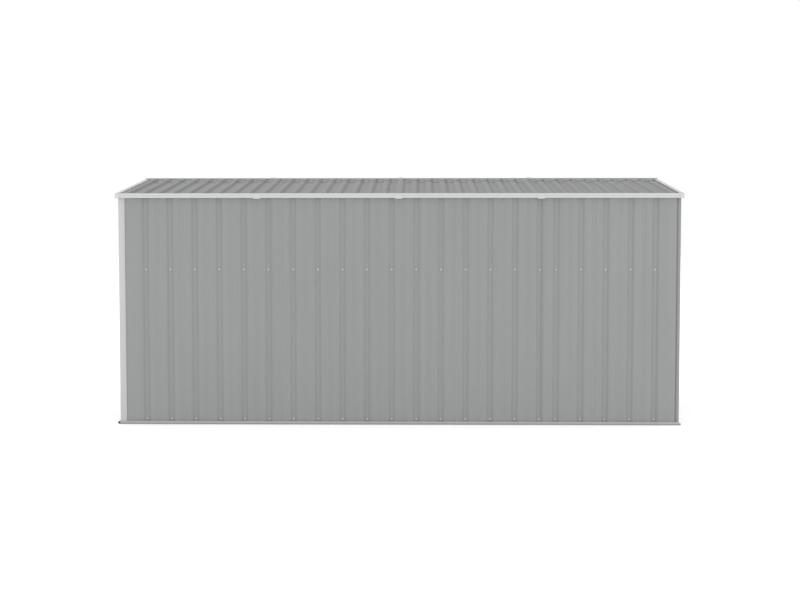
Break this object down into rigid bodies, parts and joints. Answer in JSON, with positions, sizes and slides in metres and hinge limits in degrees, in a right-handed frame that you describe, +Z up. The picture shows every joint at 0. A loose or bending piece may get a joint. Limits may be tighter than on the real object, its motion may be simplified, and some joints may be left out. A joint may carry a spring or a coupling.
{
  "type": "metal storage shed",
  "caption": "Low grey ribbed-steel storage shed with a shallow gabled roof, pale eave trims, corner posts and a closed double sliding door in one end.",
  "frame": {"origin": "centre of the footprint on the ground, under the middle of the ridge", "axes": "+X along the ridge from the door end to the plain end, +Y from the pictured long wall to the other one, +Z up"},
  "size_m": [4, 2.053, 1.7932],
  "materials": {
    "wall_sheet": "satin grey paint on ribbed sheet",
    "roof_sheet": "satin grey paint on ribbed sheet",
    "pale_trim": "satin off-white paint",
    "grey_trim": "satin grey paint",
    "base_rail": "satin light grey paint",
    "door_leaf": "satin grey paint, pale frame",
    "black_plastic": "matte black moulding",
    "inner_frame": "plain galvanised"
  },
  "bodies": {
    "root": {"back_base_rail": "base_rail", "back_corner_posts": "grey_trim", "back_end_rail": "grey_trim", "back_verge_trims": "pale_trim", "back_wall_sheet_1": "wall_sheet", "back_wall_sheet_2": "wall_sheet", "corner_caps": "pale_trim", "door_corner_posts": "pale_trim", "door_handles": "black_plastic", "door_header": "pale_trim", "door_jambs": "pale_trim", "door_side_panels": "wall_sheet", "door_sill": "base_rail", "door_verge_trims": "pale_trim", "eave_trims": "pale_trim", "far_door_leaf": "door_leaf", "far_roof_sheet_1": "roof_sheet", "far_roof_sheet_2": "roof_sheet", "far_roof_sheet_3": "roof_sheet", "far_roof_sheet_4": "roof_sheet", "far_wall_sheet_1": "wall_sheet", "far_wall_sheet_2": "wall_sheet", "far_wall_sheet_3": "wall_sheet", "far_wall_sheet_4": "wall_sheet", "gable_panels": "wall_sheet", "gable_rafters": "inner_frame", "long_base_rails": "base_rail", "near_door_leaf": "door_leaf", "near_roof_sheet_1": "roof_sheet", "near_roof_sheet_2": "roof_sheet", "near_roof_sheet_3": "roof_sheet", "near_roof_sheet_4": "roof_sheet", "near_wall_sheet_1": "wall_sheet", "near_wall_sheet_2": "wall_sheet", "near_wall_sheet_3": "wall_sheet", "near_wall_sheet_4": "wall_sheet", "purlins": "inner_frame", "rafters": "inner_frame", "ridge_beam": "inner_frame", "ridge_caps": "grey_trim", "sill_plugs": "black_plastic", "trim_joiners": "pale_trim", "wall_girts": "inner_frame", "wall_plates": "inner_frame"}
  },
  "joints": []
}
